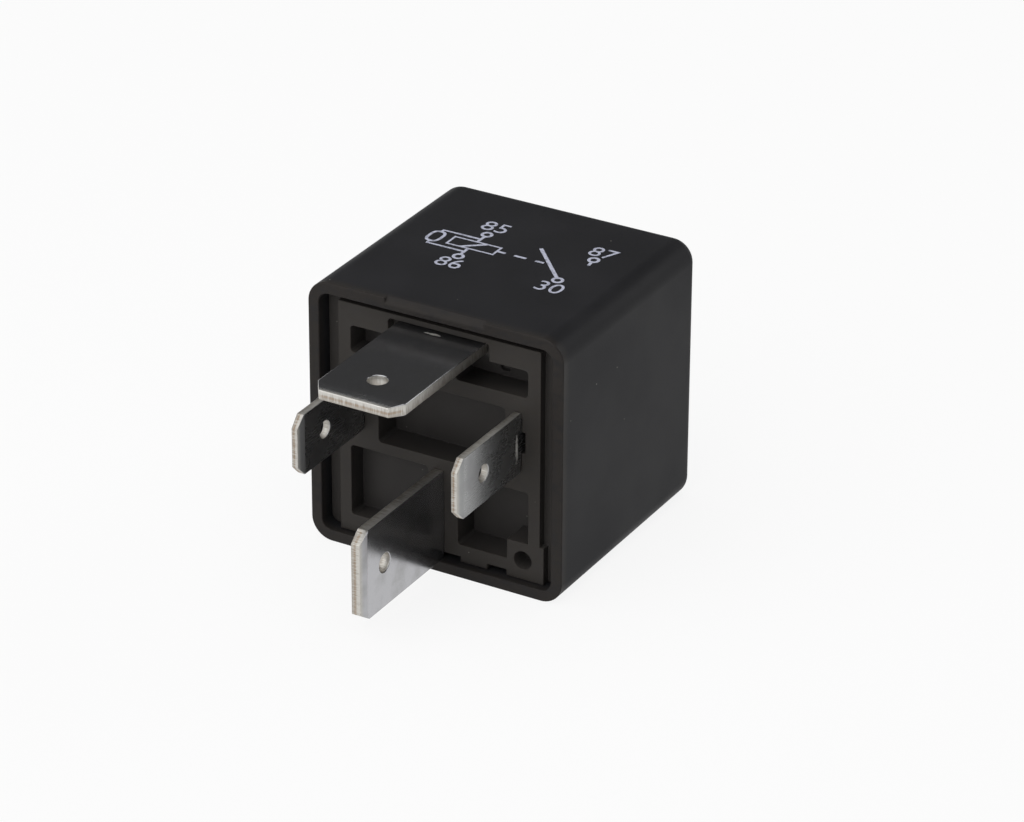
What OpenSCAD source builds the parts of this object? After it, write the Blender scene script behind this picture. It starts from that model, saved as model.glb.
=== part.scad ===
// Plug-in automotive relay with one make contact, two power blades and two coil blades.
// Every piece is drawn upright: blades down, case mouth at height 0, printed side to the
// front (-Y). lay_down() then turns the whole relay onto its back, printed side up, with the
// origin under the middle of its outline.

/* [Case] */
// Width of the case across the coil blades
case_w = 28; // [26:0.5:34]
// Depth of the case from the printed side to the back
case_d = 28; // [27:0.5:34]
// Height of the case from its mouth to its closed end
case_h = 26.6; // [24:0.2:34]
// Thickness of the case walls
wall = 1.2; // [0.8:0.1:1.4]
// Thickness of the closed end
roof = 1.3; // [0.8:0.1:2.4]
// Radius of the long edges of the case
corner_r = 2.3; // [1.9:0.1:3.5]
// Radius round the closed end
crown_r = 1.4; // [0.4:0.1:1.8]
// Width of the bevelled lifting edge on the mouth
lift_w = 10.8; // [6:0.2:16]
// Size of the bevel on the lifting edge
lift_c = 0.6; // [0.3:0.1:0.7]
// Depth of the snap grooves in the side walls
snap_depth = 0.35; // [0.2:0.05:0.45]
// Length of the snap grooves
snap_len = 7; // [4:0.5:12]

/* [Base] */
// Depth of the base's face inside the mouth
base_recess = 0.8; // [0.4:0.1:1.2]
// Thickness of the base
base_t = 4.6; // [4.4:0.1:5.6]
// Drop from the raised face to the rim of the base
rim_drop = 0.9; // [0.4:0.1:1.2]
// Width of the raised face
face_w = 22.3; // [20:0.1:24]
// Gap between the raised face and the case at the front
face_gap = 0.75; // [0.4:0.05:1.2]
// Clearance between base and case
case_fit = 0.08; // [0.04:0.01:0.2]
// Radius of the moulded corners of the pockets
pocket_r = 0.35; // [0.2:0.05:0.6]
// Depth of the middle pocket
mid_pocket_depth = 3.3; // [1.5:0.1:3.4]
// Depth of the front pocket on the left
front_left_depth = 2.7; // [1.2:0.1:3.2]
// Depth of the front pocket on the right
front_right_depth = 3.1; // [1.2:0.1:3.2]
// Depth of the back pocket on the left
back_left_depth = 2.2; // [1.2:0.1:3.2]
// Depth of the back pocket on the right, beside the vent
back_right_depth = 3.2; // [1.2:0.1:3.3]
// Depth of the shallow seat round the front power blade
seat_depth = 1.1; // [0.6:0.1:1.6]
// Radius of the vent hole
vent_r = 0.95; // [0.5:0.05:1.2]

/* [Blades] */
// Width of the power blades
power_w = 9.5; // [8:0.1:9.8]
// Thickness of the power blades
power_t = 1.2; // [0.8:0.1:1.4]
// Reach of the power blades beyond the mouth
power_reach = 14.45; // [10:0.05:18]
// Width of the corner cuts at the power blades' tips
power_corner = 1; // [0.6:0.1:2]
// Length of the corner cuts at the power blades' tips
power_corner_len = 1.5; // [0.6:0.1:2.4]
// Radius of the power blades' locking holes
power_hole_r = 1; // [0.6:0.05:1.3]
// Distance of the power blades' locking holes from the tip
power_hole_in = 4.3; // [3:0.02:6]
// Width of the coil blades
coil_blade_w = 6.3; // [4.8:0.1:6.6]
// Thickness of the coil blades
coil_blade_t = 0.8; // [0.6:0.1:1]
// Reach of the coil blades beyond the mouth
coil_reach = 11.05; // [8:0.05:16]
// Width and length of the corner cuts at the coil blades' tips
coil_corner = 1.1; // [0.5:0.1:1.6]
// Radius of the coil blades' locking holes
coil_hole_r = 0.9; // [0.5:0.05:1.1]
// Distance of the coil blades' locking holes from the tip
coil_hole_in = 4.78; // [3:0.02:6]
// Length of the bevels that thin each tip
tip_bevel = 1.3; // [0.6:0.1:1.6]
// Share of the thickness left at a tip
tip_share = 0.8; // [0.4:0.05:0.9]
// Distance between the two coil blades
coil_pitch = 17.4; // [17:0.1:19]
// Distance of the front power blade from the printed side
front_blade_in = 3.46; // [3:0.02:4]
// Distance of the back power blade's middle from the back
back_blade_in = 5.98; // [5.8:0.02:6.6]
// Distance of the coil blades behind the front power blade
coil_blade_back = 8.5; // [7.6:0.1:9]

/* [Magnet] */
// Thickness of the yoke
yoke_t = 1.5; // [1:0.1:1.8]
// Width of the yoke
yoke_w = 13; // [11.6:0.1:14]
// Gap behind the yoke for the spring and its rivets
back_gap = 1.6; // [1.3:0.1:2]
// Inner bend radius of the yoke
yoke_bend = 0.5; // [0.3:0.1:0.8]
// Width of the bobbin's flanges
flange_w = 14; // [12.6:0.1:14.6]
// Thickness of the bobbin's flanges
flange_t = 0.9; // [0.6:0.1:1.2]
// Wall of the bobbin's tube
tube_wall = 0.75; // [0.5:0.05:1]
// Depth of the copper winding
winding_t = 2.3; // [1:0.1:2.4]
// Diameter of the core
core_dia = 6; // [5:0.1:6.2]
// Diameter of the pole face
pole_dia = 9; // [7:0.1:9.6]
// Thickness of the pole face
pole_t = 1; // [0.6:0.1:1.4]

/* [Armature and contacts] */
// Thickness of the armature
armature_t = 1.5; // [1:0.1:1.8]
// Width of the armature
armature_w = 12.4; // [11:0.1:13]
// Angle through which the armature closes
stroke_deg = 3.2; // [2.6:0.1:3.8]
// Thickness of the contact spring
spring_t = 0.3; // [0.2:0.02:0.4]
// Width of the contact spring on the armature
spring_w = 9.4; // [8.6:0.1:10]
// Width of the contact spring at the contact
spring_tip_w = 4.6; // [4.2:0.1:6]
// Inner bend radius of the contact spring
spring_bend = 0.4; // [0.35:0.05:0.45]
// Radius of the contact buttons
contact_r = 1.95; // [1.4:0.05:2.1]
// Height of the contact buttons
contact_h = 0.9; // [0.6:0.1:1.1]
// Width of the fixed contact's arm
arm_w = 5.4; // [4.4:0.1:6.4]
// Thickness of the armature's back stop
stop_t = 0.8; // [0.6:0.1:1]
// Width of the back stop's post
stop_w = 2.8; // [2:0.1:3.2]
// Free height over the back stop
headroom = 1.5; // [0.6:0.1:3]

/* [Coil circuit] */
// Diameter of the suppression resistor
resistor_dia = 2.5; // [1.8:0.1:2.8]
// Length of the suppression resistor
resistor_len = 6.4; // [5:0.1:8]
// Diameter of the resistor's leads
lead_dia = 0.6; // [0.4:0.05:0.7]
// Diameter of the winding wire
wire_dia = 0.3; // [0.2:0.02:0.4]

/* [Hidden] */
$fn = 64;

// Fits
over = 1;            // how far a cut runs past the face it leaves by
blade_fit = 0.03;    // round a blade in its slot
pin_fit = 0.03;      // round a rivet, tail or shank in its hole
bore_fit = 0.05;     // round the core in the bobbin
air = 0.03;          // left between faces that close on each other
seat = 0.02;         // left between pieces that are clamped together

// Case
mouth_w = case_w - 2 * wall;
mouth_d = case_d - 2 * wall;
mouth_r = corner_r - wall;
front_in = -mouth_d / 2;
back_in = mouth_d / 2;
ceiling_z = case_h - roof;

// Base
base_top = base_recess + base_t;
rim_z = base_recess + rim_drop;
base_w = mouth_w - 2 * case_fit;
base_d = mouth_d - 2 * case_fit;
face_front = front_in + face_gap;
face_back = base_d / 2;
snap_up = 1.3;       // from the rim to the snap ridge
snap_h = 1.2;
snap_fit = 0.06;
snap_z = rim_z + snap_up;
guide_h = 1.2;       // guides round the blades, on the inner side
guide_t = 0.9;
foot_rib_h = 0.9;    // ribs beside the yoke's foot
foot_rib_t = 0.7;
foot_rib_gap = 0.1;

// Pockets of the base, measured on the raised face
side_in = 1.4;           // from the face's side edges to the pockets
pair_rib = 3.8;          // between the two front pockets
pair_gap = 0.25;         // from the front blade to the front pockets
pair_back_gap = 1.7;     // from the coil blades to the front pockets
mid_left = 2;            // from the left coil blade to the middle pocket
mid_right = 1.4;         // from the right coil blade to the middle pocket
mid_front = 3.2;         // middle pocket in front of the coil blades' middle
mid_back = 4.1;          // middle pocket behind the coil blades' middle
rear_gap = 0.05;         // back pockets in front of the back blade
rear_in = 1.9;           // from the face's back edge to the back pockets
rear_wider = 0.1;        // back pockets beyond the front ones
rear_rib_left = 1.2;     // from the middle to the back left pocket
rear_rib_right = 2.1;    // from the middle to the back right pocket
pit_x = 5.05;            // small moulding pit
pit_w = 1.1;
pit_d = 0.8;
pit_in = 0.5;
pit_depth = 0.5;
seat_side = 0.8;         // front blade's seat beside the blade
seat_front = 0.35;       // front blade's seat in front of the blade
notch_at = [0.3, 5.4];
notch_w = 2.1;
notch_in = 0.6;
notch_depth = 1;
relief_t = 0.4;
relief_w = 2.2;
relief_depth = 1.2;
vent_block_w = 3.6;
vent_block_d = 4;
vent_block_out = 0.45;
vent_in_x = 1.85;        // from the face's side edge to the vent
vent_in_y = 2.1;         // from the face's back edge to the vent
vent_depth = 2;
vent_pin_r = 0.4;        // narrow end of the vent

// Blades
front_blade_y = -case_d / 2 + front_blade_in;
back_blade_y = case_d / 2 - back_blade_in;
coil_blade_y = front_blade_y + coil_blade_back;
coil_blade_x = coil_pitch / 2;
front_seat_z = base_recess + seat_depth;
front_shoulder = 0.75;   // each side of the front blade's neck
coil_shoulder = 0.65;    // each side of a coil blade's neck
front_neck_w = power_w - 2 * front_shoulder;
coil_neck_w = coil_blade_w - 2 * coil_shoulder;
front_neck_in = 0.4;     // front blade's shoulder below its guide's top
arm_bend = 0.4;
neck_rise = 1.6;         // a coil blade's neck above the base
finger_w = 1.5;
finger_rise = 4.8;
finger_in = 0.2;
finger_top = base_top + finger_rise;
coil_finger_y = coil_blade_y + coil_neck_w / 2 - finger_w / 2 - finger_in;
resistor_finger_y = coil_blade_y - coil_neck_w / 2 + finger_w / 2;
finger_in_x = coil_blade_x - coil_blade_t / 2;

// Contacts, from the front of the case backward
contact_gap = 0.35;      // from the front blade's arm to the buttons
arm_end = 0.15;          // arm beyond the fixed contact
contact_head_h = 0.45;
button_c = 0.25;         // height of the bevel round a button's face
button_in = 0.4;         // width of that bevel
head_in = 0.15;
arm_in_y = front_blade_y + power_t / 2;
contact_y = arm_in_y + contact_gap + contact_r;
arm_back_y = contact_y + contact_r + arm_end;
contact_head_r = contact_r * 0.62;
shank_r = contact_r * 0.45;

// Magnet, from the back of the case forward; the bobbin fills the room in front of the leg
leg_gap = 0.6;           // from the leg to the bobbin
arm_gap = 0.64;          // from the fixed contact's arm to the bobbin
leg_back = back_in - back_gap;
leg_front = leg_back - yoke_t;
flange_back = leg_front - leg_gap;
flange_front = arm_back_y + arm_gap;
coil_y = (flange_front + flange_back) / 2;
core_r = core_dia / 2;
tube_r = core_r + bore_fit + tube_wall;
winding_r = tube_r + winding_t;
flange_r = 1;
wire_slot_w = 0.8;
wire_slot_in = 1.4;
wire_slot_d = 1.4;
pole_r = pole_dia / 2;
pole_c = 0.2;            // bevel round the pole face
tail_r = core_r * 0.72;
tail_head_out = 0.7;
tail_head_h = 0.45;
tail_recess_out = 0.3;
tail_recess_up = 0.12;
tail_head_r = tail_r + tail_head_out;
tail_recess_r = tail_head_r + tail_recess_out;
tail_recess_h = tail_head_h + tail_recess_up;
heel_in = 0.2;           // heel's edge in front of the yoke's back
heel_y = leg_back - heel_in;

// Heights above the pole face, worked out so that the back stop stays under the closed end
contact_reach = heel_y - contact_y + contact_head_r;
head_lift = air + armature_t + spring_t + contact_head_h;
stop_lift = head_lift * cos(stroke_deg) + contact_reach * sin(stroke_deg) + air;
pole_z = ceiling_z - headroom - stop_t - stop_lift;
stop_z = pole_z + stop_lift;
tab_top = pole_z + air + armature_t - contact_h - air - contact_h;

// Stack from the base up to the pole face
foot_top = base_top + yoke_t;
foot_out = 2;            // yoke's foot in front of the core's riveted end
winding_z = foot_top + flange_t;
upper_flange_z = pole_z - pole_t - flange_t;
lug_h = 0.9;             // lugs on both sides of the heel
lug_gap = 0.2;

// Armature and spring
armature_out = 0.9;      // armature in front of the pole face
heel_step = 1.1;         // each side of the heel
spring_out = 1.1;        // spring beyond the contact's head
spring_drop = 10;        // spring's leg below the pole face
armature_r = 1.2;
shoulder_gap = 0.25;     // from the yoke's leg to the armature's shoulders
window_w = 4.2;          // window in the spring's bend
window_in = 2.4;         // window on the armature's side of the heel
window_drop = 1.8;       // window below the pole face
spring_tip_in = 0.8;     // corners cut at the spring's tip
taper_in = 1;            // spring's full width behind the armature's front edge
taper_out = 1.2;         // spring's narrow end behind the contact
armature_front = coil_y - pole_r - armature_out;
heel_w = armature_w - 2 * heel_step;
spring_end = contact_reach + spring_out;
spring_foot_z = pole_z - spring_drop;
spring_in_y = leg_back + seat;
bend_y = spring_in_y - spring_bend;
armature_face = air + armature_t + seat;
bend_z = pole_z + (armature_face - spring_bend
    + (heel_y - bend_y) * sin(stroke_deg)) / cos(stroke_deg);
bend_steps = 12;
rivet_r = 0.8;
rivet_head_r = 1.3;
rivet_head_h = 0.4;
rivet_in = 1.5;          // from the spring's edge to its rivets
rivet_up = 1.9;          // from the spring's foot to the yoke's rivets
armature_rivet_reach = 3;
rivet_x = spring_w / 2 - rivet_in;
yoke_rivet_z = spring_foot_z + rivet_up;

// Coil circuit
circuit_rise = 3.5;
wire_rise = 0.6;
wire_gap = 0.12;         // from the winding to its led-out end
resistor_y = (arm_in_y + flange_front) / 2;
circuit_z = base_top + circuit_rise;
lead_x = finger_in_x - lead_dia / 2 - seat;
wire_z = winding_z + wire_rise;

// Turns a piece from its upright place to where it lies, printed side up
module lay_down() {
    translate([0, (power_reach - case_h) / 2, case_d / 2]) rotate([-90, 0, 0]) children();
}

// Mirrored pair, left and right
module both_sides() {
    children();
    mirror([1, 0, 0]) children();
}

// Carries an upright piece from the closed armature to the open one
module released() {
    translate([0, heel_y, pole_z]) rotate([-stroke_deg, 0, 0])
        translate([0, -heel_y, -pole_z]) children();
}

// Rectangle about the origin with round corners
module round_rect(w, d, r) {
    square([w - 2 * r, d], center = true);
    square([w, d - 2 * r], center = true);
    for (x = [-1, 1], y = [-1, 1])
        translate([x * (w / 2 - r), y * (d / 2 - r)]) circle(r);
}

// Box between two corners in plan and two heights
module block(x0, x1, y0, y1, z0, z1) {
    translate([x0, y0, z0]) cube([x1 - x0, y1 - y0, z1 - z0]);
}

// Round-cornered box between two corners in plan and two heights
module round_block(x0, x1, y0, y1, z0, z1, r) {
    translate([(x0 + x1) / 2, (y0 + y1) / 2, z0])
        linear_extrude(z1 - z0) round_rect(x1 - x0, y1 - y0, r);
}

// Plate cut from a side view: outline is drawn in Y and Z, and w is its width along X
module side_plate(w) {
    translate([-w / 2, 0, 0]) rotate([90, 0, 90]) linear_extrude(w) children();
}

// Side view of one edge of a block whose top edges are round
module crowned_side(w, h, r) {
    translate([-w / 2, 0]) square([w, h - r]);
    translate([-w / 2 + r, 0]) square([w - 2 * r, h]);
    for (x = [-1, 1]) translate([x * (w / 2 - r), h - r]) circle(r);
}

// Block with round long edges and a smaller round along its closed end
module crowned_block(w, d, h, edge_r, top_r) {
    side_plate(w - 2 * edge_r) crowned_side(d, h, top_r);
    translate([0, d / 2 - edge_r, 0]) rotate([90, 0, 0])
        linear_extrude(d - 2 * edge_r) crowned_side(w, h, top_r);
    for (x = [-1, 1], y = [-1, 1])
        translate([x * (w / 2 - edge_r), y * (d / 2 - edge_r), 0]) rotate_extrude() {
            square([edge_r, h - top_r]);
            square([edge_r - top_r, h]);
            intersection() {
                translate([edge_r - top_r, h - top_r]) circle(top_r);
                square([edge_r, h]);
            }
        }
}

// Strip with one right-angle bend, seen from the side: it rises along Z with its inner face
// at y_in, and turns forward to y_end with its lower face at z_under
module bent_side(y_in, z_low, z_under, y_end, t, bend_r) {
    translate([y_in - t, z_low]) square([t, z_under - bend_r - z_low]);
    translate([y_in + bend_r, z_under]) square([y_end - y_in - bend_r, t]);
    intersection() {
        translate([y_in + bend_r, z_under - bend_r]) difference() {
            circle(bend_r + t);
            circle(bend_r);
        }
        translate([y_in - t, z_under - bend_r]) square([bend_r + t, bend_r + t]);
    }
}

// Flat blade along X, tip down, with a thinned tip, a locking hole and corners cut by the
// width and length in corner
module blade(w, t, reach, top, corner, hole_r, hole_in) {
    cut = corner[0];
    cut_z = corner[1] - reach;
    difference() {
        intersection() {
            translate([0, t / 2, 0]) rotate([90, 0, 0]) linear_extrude(t) polygon([
                [-w / 2, top], [-w / 2, cut_z], [cut - w / 2, -reach],
                [w / 2 - cut, -reach], [w / 2, cut_z], [w / 2, top],
            ]);
            side_plate(w) polygon([
                [-t / 2, top], [-t / 2, tip_bevel - reach], [-t * tip_share / 2, -reach],
                [t * tip_share / 2, -reach], [t / 2, tip_bevel - reach], [t / 2, top],
            ]);
        }
        translate([0, t, hole_in - reach]) rotate([90, 0, 0]) cylinder(r = hole_r, h = 2 * t);
    }
}

// Rivet along Z whose two heads clamp what lies between z0 and z1
module rivet(z0, z1, shank, head, head_h) {
    edge = head_h / 2;
    translate([0, 0, z0 - head_h]) cylinder(r = shank, h = z1 - z0 + 2 * head_h);
    translate([0, 0, z0 - edge]) cylinder(r = head, h = edge);
    translate([0, 0, z0 - head_h]) cylinder(r1 = head - edge, r2 = head, h = edge);
    translate([0, 0, z1]) cylinder(r = head, h = edge);
    translate([0, 0, z1 + edge]) cylinder(r1 = head, r2 = head - edge, h = edge);
}

// ---- Housing ----

module cover() {
    color("#28282a") lay_down() difference() {
        crowned_block(case_w, case_d, case_h, corner_r, crown_r);
        translate([0, 0, -over]) linear_extrude(ceiling_z + over)
            round_rect(mouth_w, mouth_d, mouth_r);
        // bevelled lifting edge on the printed side
        side_plate(lift_w) polygon([
            [-case_d / 2 - over, lift_c], [-case_d / 2, lift_c],
            [-case_d / 2 + lift_c, 0], [-case_d / 2 + lift_c, -over], [-case_d / 2 - over, -over],
        ]);
        // snap grooves
        both_sides() block(mouth_w / 2 - over, mouth_w / 2 + snap_depth,
            -snap_len / 2, snap_len / 2, snap_z, snap_z + snap_h);
    }
}

// Ridge on the base that clicks into the case's groove
module snap_ridge() {
    out = base_w / 2 + case_fit + snap_depth - snap_fit;
    translate([0, snap_len / 2 - snap_fit, 0]) rotate([90, 0, 0])
        linear_extrude(snap_len - 2 * snap_fit) polygon([
            [base_w / 2 - over, snap_z + snap_fit], [out, snap_z + snap_fit],
            [out, snap_z + snap_h / 2], [base_w / 2, snap_z + snap_h - snap_fit],
            [base_w / 2 - over, snap_z + snap_h - snap_fit],
        ]);
}

// Pocket in the face that the blades stand on
module pocket(x0, x1, y0, y1, depth) {
    round_block(x0, x1, y0, y1, base_recess - over, base_recess + depth, pocket_r);
}

// Sunk areas moulded into the face that the blades stand on
module base_pockets() {
    pair_front = arm_in_y + pair_gap;
    pair_back = coil_blade_y - coil_blade_w / 2 - pair_back_gap;
    rear_front = back_blade_y - power_w / 2 - rear_gap;
    rear_back = face_back - rear_in;
    side_x = face_w / 2 - side_in;
    // pair in front
    pocket(-side_x, -pair_rib / 2, pair_front, pair_back, front_left_depth);
    pocket(pair_rib / 2, side_x, pair_front, pair_back, front_right_depth);
    // moulding pit in the floor of the right one
    pocket(pit_x, pit_x + pit_w, pair_back - pit_in - pit_d, pair_back - pit_in,
        front_right_depth + pit_depth);
    // middle
    pocket(mid_left - coil_blade_x, coil_blade_x - mid_right, coil_blade_y - mid_front,
        coil_blade_y + mid_back, mid_pocket_depth);
    // left and right of the back blade; the right one goes round the vent's block
    pocket(-side_x - rear_wider, -rear_rib_left, rear_front, rear_back, back_left_depth);
    difference() {
        pocket(rear_rib_right, side_x + rear_wider, rear_front, rear_back, back_right_depth);
        vent_block(base_recess - 2 * over, base_top);
    }
    // seat of the front blade
    pocket(-power_w / 2 - seat_side, power_w / 2 + seat_side,
        front_blade_y - power_t / 2 - seat_front, pair_front + pocket_r / 2, seat_depth);
    // moulding notches in the back edge
    for (x = notch_at)
        block(x, x + notch_w, face_back - notch_in, face_back + over,
            base_recess - over, base_recess + notch_depth);
    // relief slots beside the coil blades
    both_sides() block(coil_blade_x + coil_blade_t / 2 - relief_t / 4,
        coil_blade_x + coil_blade_t / 2 + relief_t, coil_blade_y - relief_w / 2,
        coil_blade_y + relief_w / 2, base_recess - over, base_recess + relief_depth);
}

// Block in the back right corner that holds the vent
module vent_block(z0, z1) {
    block(face_w / 2 - vent_block_w, face_w / 2 + vent_block_out, face_back - vent_block_d,
        face_back, z0, z1);
}

// Slots that hold the blades and the back stop
module base_slots() {
    z0 = base_recess - over;
    z1 = base_top + 2 * over + 1;
    f = blade_fit;
    block(-front_neck_w / 2 - f, front_neck_w / 2 + f,
        front_blade_y - power_t / 2 - f, arm_in_y + f, z0, z1);
    block(-power_t / 2 - f, power_t / 2 + f, back_neck_front() - f, back_neck_back() + f, z0, z1);
    both_sides() block(finger_in_x - f, coil_blade_x + coil_blade_t / 2 + f,
        coil_blade_y - coil_neck_w / 2 - f, coil_blade_y + coil_neck_w / 2 + f, z0, z1);
    block(stop_x() - f, stop_x() + stop_w + f, front_blade_y - stop_t / 2 - f,
        front_blade_y + stop_t / 2 + f, base_top - stop_root, z1);
}

module base() {
    color("#242426") lay_down() difference() {
        union() {
            translate([0, 0, rim_z]) linear_extrude(base_top - rim_z)
                round_rect(base_w, base_d, mouth_r - case_fit);
            block(-face_w / 2, face_w / 2, face_front, face_back, base_recess, rim_z + over);
            vent_block(base_recess, rim_z + over);
            both_sides() snap_ridge();
            // guides round the coil blades and the front blade
            both_sides() block(finger_in_x - guide_t, finger_in_x + coil_blade_t + guide_t,
                coil_blade_y - coil_neck_w / 2 - guide_t, coil_blade_y + coil_neck_w / 2 + guide_t,
                base_top - over, base_top + guide_h);
            block(-front_neck_w / 2 - guide_t, front_neck_w / 2 + guide_t,
                front_blade_y - power_t / 2 - guide_t, arm_in_y + guide_t, base_top - over,
                base_top + guide_h);
            // ribs that locate the yoke's foot
            both_sides() block(yoke_w / 2 + foot_rib_gap, yoke_w / 2 + foot_rib_gap + foot_rib_t,
                coil_y + core_r, leg_back, base_top - over, base_top + foot_rib_h);
        }
        base_pockets();
        base_slots();
        // room for the riveted end of the core
        translate([0, coil_y, base_top - tail_recess_h])
            cylinder(r = tail_recess_r, h = tail_recess_h + over);
        // vent
        translate([face_w / 2 - vent_in_x, face_back - vent_in_y, base_recess - over]) {
            cylinder(r = vent_r, h = over + vent_depth);
            cylinder(r = vent_pin_r, h = over + base_t + over);
        }
    }
}

// ---- Blades ----

// The back blade's neck keeps clear of the core's riveted end
neck_gap = 0.25;
neck_in = 0.7;
function back_neck_front() = coil_y + tail_recess_r + neck_gap;
function back_neck_back() = base_d / 2 - neck_in;
tongue_gap = 1.2;        // from the core's riveted end to the tongue
tongue_in = 0.9;         // from the leg to the tongue
tongue_front = coil_y + tail_head_r + tongue_gap;
tongue_back = leg_front - tongue_in;

module terminal_30() {
    color("#c9c6c4") lay_down() {
        translate([0, back_blade_y, 0]) rotate([0, 0, 90])
            blade(power_w, power_t, power_reach, base_recess - seat,
                [power_corner, power_corner_len], power_hole_r, power_hole_in);
        block(-power_t / 2, power_t / 2, back_neck_front(), back_neck_back(),
            base_recess - seat, base_top);
        // tongue staked through the yoke's foot
        block(-power_t / 2, power_t / 2, tongue_front, tongue_back, base_top, foot_top);
    }
}

// Coil blade on the right; the left one is its mirror image
module coil_terminal() {
    translate([coil_blade_x, coil_blade_y, 0]) rotate([0, 0, 90])
        blade(coil_blade_w, coil_blade_t, coil_reach, base_recess - seat,
            [coil_corner, coil_corner], coil_hole_r, coil_hole_in);
    x1 = finger_in_x + coil_blade_t;
    block(finger_in_x, x1, coil_blade_y - coil_neck_w / 2, coil_blade_y + coil_neck_w / 2,
        base_recess - seat, base_top + neck_rise);
    for (y = [coil_finger_y, resistor_finger_y])
        block(finger_in_x, x1, y - finger_w / 2, y + finger_w / 2, base_top + neck_rise, finger_top);
}

module terminal_85() { color("#c9c6c4") lay_down() mirror([1, 0, 0]) coil_terminal(); }

module terminal_86() { color("#c9c6c4") lay_down() coil_terminal(); }

module terminal_87() {
    color("#c9c6c4") lay_down() difference() {
        union() {
            translate([0, front_blade_y, 0])
                blade(power_w, power_t, power_reach, front_seat_z - seat,
                    [power_corner, power_corner_len], power_hole_r, power_hole_in);
            block(-front_neck_w / 2, front_neck_w / 2, front_blade_y - power_t / 2, arm_in_y,
                front_seat_z - seat, base_top + guide_h - front_neck_in);
            // arm that carries the fixed contact
            side_plate(arm_w) bent_side(arm_in_y, base_top, tab_top - power_t, arm_back_y,
                power_t, arm_bend);
        }
        translate([0, contact_y, tab_top - power_t - over])
            cylinder(r = shank_r + pin_fit, h = power_t + 2 * over);
    }
}

// ---- Magnet ----

module yoke() {
    color("#8d8f92") lay_down() difference() {
        union() {
            side_plate(yoke_w) {
                // leg, bend and foot
                translate([leg_front, foot_top + yoke_bend])
                    square([yoke_t, pole_z - foot_top - yoke_bend]);
                translate([coil_y - tail_head_r - foot_out, base_top])
                    square([leg_front - yoke_bend - coil_y + tail_head_r + foot_out, yoke_t]);
                intersection() {
                    translate([leg_front - yoke_bend, foot_top + yoke_bend]) difference() {
                        circle(yoke_bend + yoke_t);
                        circle(yoke_bend);
                    }
                    translate([leg_front - yoke_bend, base_top])
                        square([yoke_bend + yoke_t, yoke_bend + yoke_t]);
                }
            }
            // lugs that keep the armature's heel in place
            both_sides() block(heel_w / 2 + lug_gap, yoke_w / 2, leg_front, leg_back,
                pole_z - over, pole_z + lug_h);
        }
        translate([0, coil_y, base_top - over]) cylinder(r = tail_r + pin_fit, h = yoke_t + 2 * over);
        block(-power_t / 2 - blade_fit, power_t / 2 + blade_fit, tongue_front - blade_fit,
            tongue_back + blade_fit, base_top - over, foot_top + over);
        both_sides() translate([rivet_x, leg_back + over, yoke_rivet_z]) rotate([90, 0, 0])
            cylinder(r = rivet_r + pin_fit, h = yoke_t + 2 * over);
    }
}

module core() {
    color("#9a9ca0") lay_down() translate([0, coil_y, 0]) {
        translate([0, 0, foot_top]) cylinder(r = core_r, h = pole_z - pole_t - foot_top);
        translate([0, 0, pole_z - pole_t]) cylinder(r = pole_r, h = pole_t - pole_c);
        translate([0, 0, pole_z - pole_c]) cylinder(r1 = pole_r, r2 = pole_r - pole_c, h = pole_c);
        // tail riveted under the yoke's foot
        translate([0, 0, base_top]) cylinder(r = tail_r, h = yoke_t);
        translate([0, 0, base_top - tail_head_h]) cylinder(r = tail_head_r, h = tail_head_h);
    }
}

// One flange of the bobbin
module flange(z) {
    round_block(-flange_w / 2, flange_w / 2, flange_front, flange_back, z, z + flange_t, flange_r);
}

module bobbin() {
    color("#d8cfae") lay_down() difference() {
        union() {
            flange(foot_top);
            flange(upper_flange_z);
            translate([0, coil_y, foot_top])
                cylinder(r = tube_r, h = upper_flange_z - foot_top + flange_t);
        }
        translate([0, coil_y, foot_top - over])
            cylinder(r = core_r + bore_fit, h = pole_z - foot_top + over);
        // slots for the ends of the winding
        both_sides() block(flange_w / 2 - wire_slot_in - wire_slot_w, flange_w / 2 - wire_slot_in,
            flange_front - over, flange_front + wire_slot_d, foot_top - over, winding_z + over);
    }
}

module coil_winding() {
    color("#a4572a") lay_down() translate([0, coil_y, winding_z]) difference() {
        cylinder(r = winding_r, h = upper_flange_z - winding_z);
        translate([0, 0, -over])
            cylinder(r = tube_r + seat, h = upper_flange_z - winding_z + 2 * over);
    }
}

// End of the winding, led across and wound round its blade's finger
module coil_lead() {
    wrap_z = wire_z - wire_dia / 2;
    wrap_h = 3 * wire_dia;
    leave_x = sqrt(pow(winding_r, 2) - pow(coil_y - coil_finger_y, 2)) + wire_gap;
    wire_x = finger_in_x - seat - wire_dia;
    translate([leave_x, coil_finger_y, wire_z]) rotate([0, 90, 0])
        cylinder(d = wire_dia, h = wire_x - leave_x + wire_dia / 2);
    difference() {
        block(wire_x, finger_in_x + coil_blade_t + seat + wire_dia,
            coil_finger_y - finger_w / 2 - seat - wire_dia,
            coil_finger_y + finger_w / 2 + seat + wire_dia, wrap_z, wrap_z + wrap_h);
        block(finger_in_x - seat, finger_in_x + coil_blade_t + seat,
            coil_finger_y - finger_w / 2 - seat, coil_finger_y + finger_w / 2 + seat,
            wrap_z - over, wrap_z + wrap_h + over);
    }
}

module coil_lead_85() { color("#b5652f") lay_down() mirror([1, 0, 0]) coil_lead(); }

module coil_lead_86() { color("#b5652f") lay_down() coil_lead(); }

// ---- Suppression resistor across the coil ----

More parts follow.
